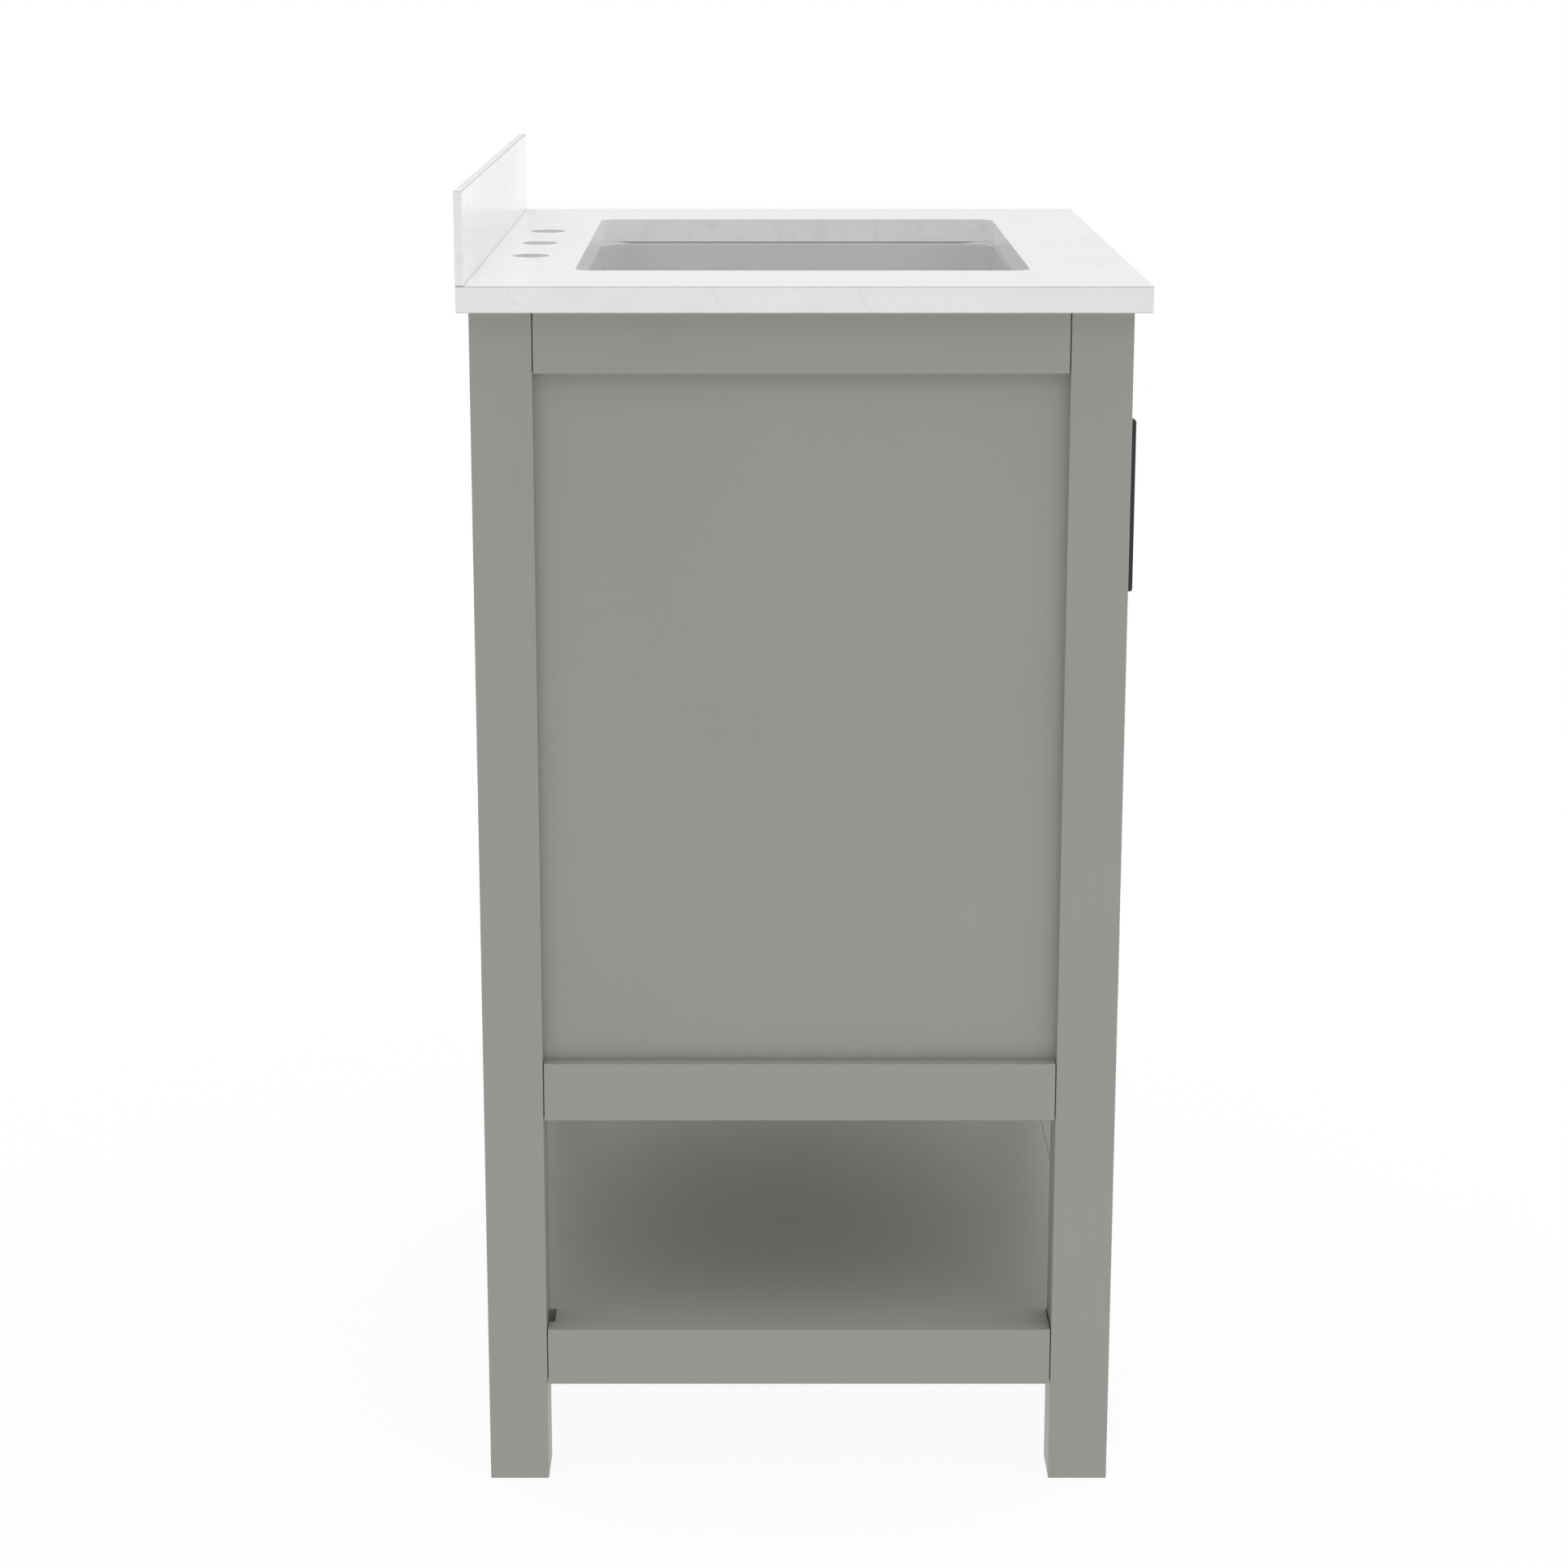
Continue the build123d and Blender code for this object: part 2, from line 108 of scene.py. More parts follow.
def wearEdges(tree, finish, coat):
    # compares the surface with a rounded one, and mixes in the edge colour where the two turn apart
    face = addNode(tree, "ShaderNodeNewGeometry")
    rounded = addNode(tree, "ShaderNodeBevel", {"Radius": finish["edgeWidth"] * mm}, samples=4)
    facing = addNode(tree, "ShaderNodeVectorMath",
                     links={0: face.outputs["Normal"], 1: rounded.outputs[0]}, operation="DOT_PRODUCT")
    edge = addNode(tree, "ShaderNodeMapRange", spread(finish["edgeTurn"], (0.0, finish["edgeShare"])),
                   {0: facing.outputs["Value"]})
    return addNode(tree, "ShaderNodeMix", {7: hexToLinear(finish["edge"])},
                   {0: edge.outputs[0], 6: coat.outputs[2]}, data_type="RGBA")


# Satin enamel, sprayed over sanded poplar and board. It reads as an even warm grey with a soft sheen: very
# slight tone changes, the grain only just telegraphing through, a fine orange peel, and edges where the
# coat has drawn thin.
enamel = {
    "colour": "a09f9a",
    "deep": "9c9b96",
    "edge": "b2b1ac",
    "edgeWidth": 0.9,
    "edgeTurn": (0.99, 0.75),  # cosines between which the edge colour comes in
    "edgeShare": 0.6,
    "toneSize": 180,  # across one slow change of tone
    "toneRange": (0.32, 0.68),
    "grainInTone": 0.3,
    "grainLength": 90,
    "grainWidth": 1.6,
    "grainDepth": 0.010,
    "peelSize": 2.4,  # about twice the real orange peel, so that it shows
    "peelDepth": 0.006,
    "mottleWidth": 9.6,  # board has no grain, only a soft mottle
    "roughness": (0.38, 0.47),
    "ior": 1.47,
}


def sprayedSatinEnamel(name, grainAxis=None):
    material, tree, place = startMaterial(name)
    stretch = [perSize(enamel["mottleWidth" if grainAxis is None else "grainWidth"])] * 3
    if grainAxis is not None:
        stretch[grainAxis] = perSize(enamel["grainLength"])
    along = addNode(tree, "ShaderNodeMapping", {"Scale": stretch}, {"Vector": place})
    grain = addNode(tree, "ShaderNodeTexNoise", {"Scale": 1.0, "Detail": 4.0, "Roughness": 0.6},
                    {"Vector": along.outputs[0]})
    tone = addNode(tree, "ShaderNodeTexNoise", {"Scale": perSize(enamel["toneSize"]), "Detail": 3.0},
                   {"Vector": place})
    peel = addNode(tree, "ShaderNodeTexNoise", {"Scale": perSize(enamel["peelSize"]), "Detail": 1.0},
                   {"Vector": place})
    mixed = addNode(tree, "ShaderNodeMix", {0: enamel["grainInTone"]},
                    {2: tone.outputs[0], 3: grain.outputs[0]})
    level = addNode(tree, "ShaderNodeMapRange", spread(enamel["toneRange"]), {0: mixed.outputs[0]})
    coat = addNode(tree, "ShaderNodeMix", {6: hexToLinear(enamel["deep"]), 7: hexToLinear(enamel["colour"])},
                   {0: level.outputs[0]}, data_type="RGBA")
    colour = wearEdges(tree, enamel, coat)
    gloss = addNode(tree, "ShaderNodeMapRange", spread(noiseRange, enamel["roughness"]),
                    {0: mixed.outputs[0]})
    grainBump = addNode(tree, "ShaderNodeBump", {"Strength": 1.0, "Distance": enamel["grainDepth"] * mm},
                        {"Height": grain.outputs[0]})
    peelBump = addNode(tree, "ShaderNodeBump", {"Strength": 1.0, "Distance": enamel["peelDepth"] * mm},
                       {"Height": peel.outputs[0], "Normal": grainBump.outputs[0]})
    finishMaterial(tree, {"IOR": enamel["ior"]}, colour, gloss, peelBump)
    return material


# Engineered quartz, cast and polished. Nearly white, with slow faint grey clouds, a very pale vein here and
# there and fine crushed grains that only show close up. Polishing leaves it glossy.
quartz = {
    "white": "f5f5f5",
    "cloud": "f1f1f1",
    "vein": "e7e7e7",
    "grain": "e6e6e5",
    "edgeShadeColour": "a9a9a9",  # painted shade: the eased edges are coloured this darker grey
    "edgeShadeSlope": (0.05, 0.20),  # 0 on level and upright faces, 0.25 at its steepest between them
    "edgeShadeShare": 0.8,
    "cloudSize": 60,
    "cloudRange": (0.42, 0.68),
    "veinSize": 260,
    "veinMiddle": 0.5,
    "veinHalfWidth": 0.012,
    "veinShare": 0.4,
    "grainSize": 1.3,
    "plainGrains": 0.94,
    "grainShare": 0.5,
    "waveSize": 25,
    "waveDepth": 0.0005,
    "roughness": (0.17, 0.20),
    "ior": 1.54,
}


def polishedEngineeredQuartz():
    material, tree, place = startMaterial("polished_engineered_quartz")
    cloud = addNode(tree, "ShaderNodeTexNoise",
                    {"Scale": perSize(quartz["cloudSize"]), "Detail": 5.0, "Distortion": 0.5},
                    {"Vector": place})
    clouds = addNode(tree, "ShaderNodeMapRange", spread(quartz["cloudRange"]), {0: cloud.outputs[0]})
    stone = addNode(tree, "ShaderNodeMix", {6: hexToLinear(quartz["white"]), 7: hexToLinear(quartz["cloud"])},
                    {0: clouds.outputs[0]}, data_type="RGBA")
    drift = addNode(tree, "ShaderNodeTexNoise",
                    {"Scale": perSize(quartz["veinSize"]), "Detail": 6.0, "Distortion": 1.4},
                    {"Vector": place})
    offset = addNode(tree, "ShaderNodeMath", {1: quartz["veinMiddle"]}, {0: drift.outputs[0]},
                     operation="SUBTRACT")
    distance = addNode(tree, "ShaderNodeMath", links={0: offset.outputs[0]}, operation="ABSOLUTE")
    vein = addNode(tree, "ShaderNodeMapRange",
                   spread((0.0, quartz["veinHalfWidth"]), (quartz["veinShare"], 0.0)),
                   {0: distance.outputs[0]})
    veined = addNode(tree, "ShaderNodeMix", {7: hexToLinear(quartz["vein"])},
                     {0: vein.outputs[0], 6: stone.outputs[2]}, data_type="RGBA")
    grains = addNode(tree, "ShaderNodeTexVoronoi", {"Scale": perSize(quartz["grainSize"])}, {"Vector": place})
    grain = addNode(tree, "ShaderNodeSeparateColor", links={0: grains.outputs["Color"]})
    chosen = addNode(tree, "ShaderNodeMapRange",
                     spread((quartz["plainGrains"], 1.0), (0.0, quartz["grainShare"])),
                     {0: grain.outputs[0]})
    colour = addNode(tree, "ShaderNodeMix", {7: hexToLinear(quartz["grain"])},
                     {0: chosen.outputs[0], 6: veined.outputs[2]}, data_type="RGBA")
    # painted shade: where the normal slopes between level and upright, on the eased edges, the colour goes to
    # the darker edge grey
    facing = addNode(tree, "ShaderNodeTexCoord")
    part = addNode(tree, "ShaderNodeSeparateXYZ", links={0: facing.outputs["Normal"]})
    tilt = addNode(tree, "ShaderNodeMath", links={0: part.outputs[2]}, operation="ABSOLUTE")
    rest = addNode(tree, "ShaderNodeMath", {0: 1.0}, {1: tilt.outputs[0]}, operation="SUBTRACT")
    slope = addNode(tree, "ShaderNodeMath", links={0: tilt.outputs[0], 1: rest.outputs[0]},
                    operation="MULTIPLY")
    edge = addNode(tree, "ShaderNodeMapRange", spread(quartz["edgeShadeSlope"], (0.0, quartz["edgeShadeShare"])),
                   {0: slope.outputs[0]})
    shadedEdgeColour = addNode(tree, "ShaderNodeMix", {7: hexToLinear(quartz["edgeShadeColour"])},
                    {0: edge.outputs[0], 6: colour.outputs[2]}, data_type="RGBA")
    gloss = addNode(tree, "ShaderNodeMapRange", spread(noiseRange, quartz["roughness"]),
                    {0: cloud.outputs[0]})
    wave = addNode(tree, "ShaderNodeTexNoise", {"Scale": perSize(quartz["waveSize"]), "Detail": 1.0},
                   {"Vector": place})
    bump = addNode(tree, "ShaderNodeBump", {"Strength": 1.0, "Distance": quartz["waveDepth"] * mm},
                   {"Height": wave.outputs[0]})
    finishMaterial(tree, {"IOR": quartz["ior"]}, shadedEdgeColour, gloss, bump)
    return material


# Vitreous china, slip cast and glazed. White under a thick clear glaze, which pools in slow waves and gives
# sharp bright reflections where the surface turns.
china = {
    # painted shade: body and pool are set a light grey rather than the glaze's white, for the shade inside
    # the bowl
    "body": "cfcfce",
    "pool": "cacbcb",
    "poolSize": 110,
    "poolRange": (0.35, 0.65),
    "waveSize": 34,
    "waveDepth": 0.07,
    "roughness": (0.05, 0.10),
    "ior": 1.52,
}


def glazedVitreousChina():
    material, tree, place = startMaterial("glazed_vitreous_china")
    pool = addNode(tree, "ShaderNodeTexNoise", {"Scale": perSize(china["poolSize"]), "Detail": 2.0},
                   {"Vector": place})
    level = addNode(tree, "ShaderNodeMapRange", spread(china["poolRange"]), {0: pool.outputs[0]})
    colour = addNode(tree, "ShaderNodeMix", {6: hexToLinear(china["body"]), 7: hexToLinear(china["pool"])},
                     {0: level.outputs[0]}, data_type="RGBA")
    gloss = addNode(tree, "ShaderNodeMapRange", spread(noiseRange, china["roughness"]),
                    {0: pool.outputs[0]})
    wave = addNode(tree, "ShaderNodeTexNoise", {"Scale": perSize(china["waveSize"]), "Detail": 1.0},
                   {"Vector": place})
    bump = addNode(tree, "ShaderNodeBump", {"Strength": 1.0, "Distance": china["waveDepth"] * mm},
                   {"Height": wave.outputs[0]})
    finishMaterial(tree, {"IOR": china["ior"]}, colour, gloss, bump)
    return material


# Powder coat, baked on zinc castings. Almost black and matt, pebbled by the fused powder, a little paler
# and smoother along the edges where hands rub it.
powder = {
    "colour": "343437",
    # painted shade: the pebble's low spots are coloured this darker grey
    "pit": "29292b",
    "edge": "4e4e51",
    "edgeWidth": 0.7,
    "edgeTurn": (0.99, 0.8),
    "edgeShare": 0.7,
    "pebbleSize": 0.8,  # twice the real pebble, so that it shows
    "pebbleRange": (0.35, 0.6),
    "pebbleDepth": 0.03,
    "roughness": (0.56, 0.42),  # in the pits, on the pebbles
    "ior": 1.5,
}


def bakedPowderCoat():
    material, tree, place = startMaterial("baked_powder_coat")
    pebble = addNode(tree, "ShaderNodeTexNoise", {"Scale": perSize(powder["pebbleSize"]), "Detail": 2.0},
                     {"Vector": place})
    level = addNode(tree, "ShaderNodeMapRange", spread(powder["pebbleRange"]), {0: pebble.outputs[0]})
    coat = addNode(tree, "ShaderNodeMix", {6: hexToLinear(powder["pit"]), 7: hexToLinear(powder["colour"])},
                   {0: level.outputs[0]}, data_type="RGBA")
    colour = wearEdges(tree, powder, coat)
    gloss = addNode(tree, "ShaderNodeMapRange", spread(noiseRange, powder["roughness"]),
                    {0: pebble.outputs[0]})
    bump = addNode(tree, "ShaderNodeBump", {"Strength": 1.0, "Distance": powder["pebbleDepth"] * mm},
                   {"Height": pebble.outputs[0]})
    finishMaterial(tree, {"IOR": powder["ior"]}, colour, gloss, bump)
    return material


# Plated steel, rolled and stamped. Satin metal with fine rolling lines and a cloudy plated skin.
plating = {
    "lineWidth": 0.35,
    "lineLength": 12,
    "lineDepth": 0.002,
    "cloudSize": 5,
    "lineInTone": 0.45,
    "toneRange": (0.35, 0.65),
}


def platedSteel(name, bright, dull, roughness):
    material, tree, place = startMaterial(name)
    stretch = [perSize(plating["lineWidth"])] * 2 + [perSize(plating["lineLength"])]
    rolled = addNode(tree, "ShaderNodeMapping", {"Scale": stretch}, {"Vector": place})
    line = addNode(tree, "ShaderNodeTexNoise", {"Scale": 1.0, "Detail": 2.0}, {"Vector": rolled.outputs[0]})
    cloud = addNode(tree, "ShaderNodeTexNoise", {"Scale": perSize(plating["cloudSize"]), "Detail": 3.0},
                    {"Vector": place})
    mixed = addNode(tree, "ShaderNodeMix", {0: plating["lineInTone"]},
                    {2: cloud.outputs[0], 3: line.outputs[0]})
    level = addNode(tree, "ShaderNodeMapRange", spread(plating["toneRange"]), {0: mixed.outputs[0]})
    colour = addNode(tree, "ShaderNodeMix", {6: hexToLinear(dull), 7: hexToLinear(bright)},
                     {0: level.outputs[0]}, data_type="RGBA")
    gloss = addNode(tree, "ShaderNodeMapRange", spread(noiseRange, roughness), {0: mixed.outputs[0]})
    bump = addNode(tree, "ShaderNodeBump", {"Strength": 1.0, "Distance": plating["lineDepth"] * mm},
                   {"Height": line.outputs[0]})
    finishMaterial(tree, {"Metallic": 1.0}, colour, gloss, bump)
    return material


# Poplar, planed and left bare. Pale greenish tan with soft growth bands and fine pores along the length.
poplar = {
    "early": "cdb68c",
    "late": "ab8c5c",
    "pore": "8d7046",
    "bandWidth": 7,
    "bandLength": 220,
    "bandRange": (0.38, 0.64),
    "poreWidth": 0.5,
    "poreLength": 14,
    "poreRange": (0.58, 0.72),
    "poreShare": 0.5,
    "poreDepth": 0.05,
    "roughness": (0.55, 0.72),
    "ior": 1.5,
}


def planedPoplar(name, grainAxis):
    material, tree, place = startMaterial(name)
    bandStretch = [perSize(poplar["bandWidth"])] * 3
    bandStretch[grainAxis] = perSize(poplar["bandLength"])
    poreStretch = [perSize(poplar["poreWidth"])] * 3
    poreStretch[grainAxis] = perSize(poplar["poreLength"])
    bandPlace = addNode(tree, "ShaderNodeMapping", {"Scale": bandStretch}, {"Vector": place})
    porePlace = addNode(tree, "ShaderNodeMapping", {"Scale": poreStretch}, {"Vector": place})
    band = addNode(tree, "ShaderNodeTexNoise", {"Scale": 1.0, "Detail": 3.0, "Distortion": 0.6},
                   {"Vector": bandPlace.outputs[0]})
    bands = addNode(tree, "ShaderNodeMapRange", spread(poplar["bandRange"]), {0: band.outputs[0]})
    wood = addNode(tree, "ShaderNodeMix", {6: hexToLinear(poplar["early"]), 7: hexToLinear(poplar["late"])},
                   {0: bands.outputs[0]}, data_type="RGBA")
    pore = addNode(tree, "ShaderNodeTexNoise", {"Scale": 1.0, "Detail": 2.0},
                   {"Vector": porePlace.outputs[0]})
    pores = addNode(tree, "ShaderNodeMapRange", spread(poplar["poreRange"], (0.0, poplar["poreShare"])),
                    {0: pore.outputs[0]})
    colour = addNode(tree, "ShaderNodeMix", {7: hexToLinear(poplar["pore"])},
                     {0: pores.outputs[0], 6: wood.outputs[2]}, data_type="RGBA")
    gloss = addNode(tree, "ShaderNodeMapRange", spread(noiseRange, poplar["roughness"]),
                    {0: band.outputs[0]})
    bump = addNode(tree, "ShaderNodeBump",
                   {"Strength": 1.0, "Distance": poplar["poreDepth"] * mm}, {"Height": pore.outputs[0]},
                   invert=True)
    finishMaterial(tree, {"IOR": poplar["ior"]}, colour, gloss, bump)
    return material


# ABS, injection moulded. Milky white with the fine spark-eroded texture of its mould.
moulding = {
    "colour": "e4e2dc",
    "shade": "d8d6d0",
    "toneSize": 20,
    "textureSize": 0.6,
    "textureDepth": 0.012,
    "roughness": (0.40, 0.55),
    "ior": 1.53,
}


def mouldedAbs():
    material, tree, place = startMaterial("moulded_abs")
    tone = addNode(tree, "ShaderNodeTexNoise", {"Scale": perSize(moulding["toneSize"]), "Detail": 2.0},
                   {"Vector": place})
    colour = addNode(tree, "ShaderNodeMix",
                     {6: hexToLinear(moulding["shade"]), 7: hexToLinear(moulding["colour"])},
                     {0: tone.outputs[0]}, data_type="RGBA")
    texture = addNode(tree, "ShaderNodeTexNoise",
                      {"Scale": perSize(moulding["textureSize"]), "Detail": 2.0}, {"Vector": place})
    gloss = addNode(tree, "ShaderNodeMapRange", spread(noiseRange, moulding["roughness"]),
                    {0: texture.outputs[0]})
    bump = addNode(tree, "ShaderNodeBump", {"Strength": 1.0, "Distance": moulding["textureDepth"] * mm},
                   {"Height": texture.outputs[0]})
    finishMaterial(tree, {"IOR": moulding["ior"]}, colour, gloss, bump)
    return material


# Silicone sealant, tooled wet. Milky and softly glossy, with the ripple that a wet finger leaves.
silicone = {
    "colour": "bdbdba",
    # painted shade: the ripple's troughs are coloured this darker grey
    "shade": "adadaa",
    "rippleSize": 6,
    "rippleDepth": 0.06,
    "roughness": (0.28, 0.38),
    "ior": 1.41,
}


def tooledSilicone():
    material, tree, place = startMaterial("tooled_silicone")
    ripple = addNode(tree, "ShaderNodeTexNoise", {"Scale": perSize(silicone["rippleSize"]), "Detail": 2.0},
                     {"Vector": place})
    colour = addNode(tree, "ShaderNodeMix",
                     {6: hexToLinear(silicone["shade"]), 7: hexToLinear(silicone["colour"])},
                     {0: ripple.outputs[0]}, data_type="RGBA")
    gloss = addNode(tree, "ShaderNodeMapRange", spread(noiseRange, silicone["roughness"]),
                    {0: ripple.outputs[0]})
    bump = addNode(tree, "ShaderNodeBump", {"Strength": 1.0, "Distance": silicone["rippleDepth"] * mm},
                   {"Height": ripple.outputs[0]})
    finishMaterial(tree, {"IOR": silicone["ior"]}, colour, gloss, bump)
    return material


enamelOnBoard = sprayedSatinEnamel("sprayed_satin_enamel_on_board")
enamelAlong = [sprayedSatinEnamel(f"sprayed_satin_enamel_on_poplar_{axis}", i)
               for i, axis in enumerate("xyz")]
poplarAlong = [planedPoplar(f"planed_poplar_{axis}", i) for i, axis in enumerate("xy")]
stone = polishedEngineeredQuartz()
glaze = glazedVitreousChina()
coating = bakedPowderCoat()
zinc = platedSteel("zinc_plated_steel", "d3d2cc", "b4b3ae", (0.26, 0.40))
blackSteel = platedSteel("black_oxide_steel", "47474a", "333335", (0.34, 0.48))
plastic = mouldedAbs()
sealant = tooledSilicone()
print("materials made:", len(bpy.data.materials))


# Finishes for the carried-over pieces: solid wood shows its grain along its length

def finishOf(nodeName):
    if nodeName in ("countertop", "backsplash"):
        return stone
    if nodeName == "sink_basin":
        return glaze
    if nodeName == "magnetic_catches":
        return plastic
    if nodeName in ("corner_blocks", "floor_cleats", "shelf_cleats"):
        return poplarAlong[0 if nodeName == "corner_blocks" else 1]
    if "screws" in nodeName or nodeName == "sink_clips" or "strike" in nodeName:
        return zinc
    if nodeName.startswith("hinge"):
        return blackSteel
    if nodeName.startswith("pull"):
        return coating
    if nodeName.startswith("leg") or nodeName.endswith("stile"):
        return enamelAlong[2]
    if nodeName.startswith("side") and "rail" in nodeName:
        return enamelAlong[1]
    if nodeName.endswith("rail"):
        return enamelAlong[0]
    return enamelOnBoard


for nodeName, node in nodes.items():
    for index in range(len(node.material_slots)):
        node.material_slots[index].material = finishOf(nodeName)
print("finishes given to", len(nodes), "pieces")


# Mesh helpers

joining = {"weld": 0.002, "flat": 0.4, "sharp": 50}  # mm, then two angles in degrees


def isLevel(face):
    return abs(face.normal.z) > 0.99


def copyOfNode(nodeName):
    # the node's triangles, joined up again, with the flat ones merged into whole faces
    mesh = nodes[nodeName].data.copy()
    for name in [a.name for a in mesh.attributes if a.name == "custom_normal"]:
        mesh.attributes.remove(mesh.attributes[name])
    bm = bmesh.new()
    bm.from_mesh(mesh)
    bpy.data.meshes.remove(mesh)
    bmesh.ops.remove_doubles(bm, verts=bm.verts, dist=joining["weld"] * mm)
    bmesh.ops.dissolve_limit(bm, angle_limit=radians(joining["flat"]), verts=bm.verts, edges=bm.edges)
    return bm


def bevelEdges(bm, edges, offset, segments):
    bmesh.ops.bevel(bm, geom=edges, offset=offset, offset_type="OFFSET", affect="EDGES",
                    segments=segments, profile=0.5, material=-1, clamp_overlap=True)


def finishPiece(bm, name, material, body, slotName, *cadNodes, sharpFrom=35):
    for face in bm.faces:
        face.smooth = True
    for edge in bm.edges:
        edge.smooth = len(edge.link_faces) == 2 and edge.calc_face_angle(0) < radians(sharpFrom)
    mesh = bpy.data.meshes.new(name)
    bm.to_mesh(mesh)
    bm.free()
    mesh.materials.append(material)
    piece = bpy.data.objects.new(name, mesh)
    bpy.context.scene.collection.objects.link(piece)
    evened = piece.modifiers.new("even_shading", "WEIGHTED_NORMAL")  # keeps the large faces flat
    evened.weight = 100
    evened.keep_sharp = True
    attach(piece, body)
    if cadNodes:
        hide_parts(*cadNodes)


def easeSharpEdges(bm, offset, segments, shortest=0.0):
    sharp = [e for e in bm.edges if e.is_manifold and e.calc_face_angle(0) > radians(joining["sharp"])
             and e.calc_length() > shortest]
    bevelEdges(bm, sharp, offset, segments)


# Counter: the cut-out and the holes get the same small eased edge as the outside

counter = {"ease": 0.9, "segments": 3}
bm = copyOfNode("countertop")
easeSharpEdges(bm, counter["ease"] * mm, counter["segments"])
finishPiece(bm, "stone_counter", stone, "cabinet", "stone_top", "countertop")
print("counter made")


# Basin: a slip-cast bowl with soft corners that falls to its waste hole

basin = {
    "flange": 22,
    "wall": 10,
    "corner": 25,
    "bottomRound": 23,
    "lipRound": 3.2,
    "taper": 4,  # degrees
    "fall": 5,
    "slopeRings": 6,
    "shortestRay": 10,  # edges of the slope that reach further inwards than this are its rays
    "drainRadius": 22.5,
    "drainRound": 2.5,
    "segments": 10,
    "smallSegments": 4,
}


def makeBasin():
    low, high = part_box("sink_basin")
    wall, flange = basin["wall"] * mm, basin["flange"] * mm
    width, across = high.x - low.x - 2 * flange, high.y - low.y - 2 * flange
    depth = high.z - low.z - wall - basin["fall"] * mm  # to the edge of the floor
    count = basin["segments"]
    tiny = 0.01 * mm

    bm = bmesh.new()
    bmesh.ops.create_cube(bm, size=1.0)
    bmesh.ops.scale(bm, vec=(width, across, depth), verts=bm.verts)
    bmesh.ops.translate(bm, vec=(0, 0, -depth / 2), verts=bm.verts)
    narrower = 2 * depth * tan(radians(basin["taper"]))
    bottom = [v for v in bm.verts if v.co.z < -depth / 2]
    bmesh.ops.scale(bm, vec=((width - narrower) / width, (across - narrower) / across, 1), verts=bottom)
    upright = [e for e in bm.edges if abs(e.verts[0].co.z - e.verts[1].co.z) > depth / 2]
    bevelEdges(bm, upright, basin["corner"] * mm, count)
    bevelEdges(bm, [e for e in bm.edges if all(v.co.z < -depth + tiny for v in e.verts)],
               basin["bottomRound"] * mm, count)

    # open the top, and sink the floor to a round waste hole
    lids = [f for f in bm.faces if len(f.verts) > 4 and isLevel(f)]
    bmesh.ops.delete(bm, geom=lids, context="FACES_ONLY")
    floorLoop = [e for e in bm.edges if e.is_boundary and e.verts[0].co.z < -depth / 2]
    drainDepth = depth + basin["fall"] * mm
    ring = bmesh.ops.create_circle(bm, segments=len(floorLoop), radius=basin["drainRadius"] * mm,
                                   matrix=Matrix.Translation((0, 0, -drainDepth)))
    ringEdges = list({e for v in ring["verts"] for e in v.link_edges})
    slope = bmesh.ops.bridge_loops(bm, edges=floorLoop + ringEdges)
    rays = [e for e in slope["edges"]
            if abs(e.verts[0].co.xy.length - e.verts[1].co.xy.length) > basin["shortestRay"] * mm]
    bmesh.ops.subdivide_edges(bm, edges=rays, cuts=basin["slopeRings"], use_grid_fill=True)
    ringEdges = [e for e in bm.edges if e.is_boundary and e.verts[0].co.z < -depth / 2]
    hole = bmesh.ops.extrude_edge_only(bm, edges=ringEdges)
    sunk = [v for v in hole["geom"] if isinstance(v, bmesh.types.BMVert)]
    bmesh.ops.translate(bm, vec=(0, 0, low.z - high.z + drainDepth), verts=sunk)
    bevelEdges(bm, ringEdges, basin["drainRound"] * mm, basin["smallSegments"])

    # the flange goes out under the counter, past a rounded lip
    rim = [e for e in bm.edges if e.is_boundary and e.verts[0].co.z > -tiny]
    outward = bmesh.ops.extrude_edge_only(bm, edges=rim)
    outer = [v for v in outward["geom"] if isinstance(v, bmesh.types.BMVert)]
    bmesh.ops.scale(bm, vec=((width + 2 * flange) / width, (across + 2 * flange) / across, 1), verts=outer)
    bevelEdges(bm, rim, basin["lipRound"] * mm, basin["smallSegments"])

    bmesh.ops.remove_doubles(bm, verts=bm.verts, dist=tiny)
    bmesh.ops.recalc_face_normals(bm, faces=bm.faces)
    if sum(f.normal.z for f in bm.faces if f.calc_center_median().z > -tiny) < 0:
        bmesh.ops.reverse_faces(bm, faces=bm.faces)
    bmesh.ops.solidify(bm, geom=bm.faces[:], thickness=wall)
    bmesh.ops.translate(bm, vec=((low.x + high.x) / 2, (low.y + high.y) / 2, high.z), verts=bm.verts)
    finishPiece(bm, "basin_bowl", glaze, "cabinet", "basin_ceramic", "sink_basin")


makeBasin()
print("basin made")


# Bead of sealant in the groove between the counter's cut edge and the basin's lip

bead = {"thick": 1.5, "inset": 0.5, "corner": 12.5, "round": 0.4, "segments": 2}


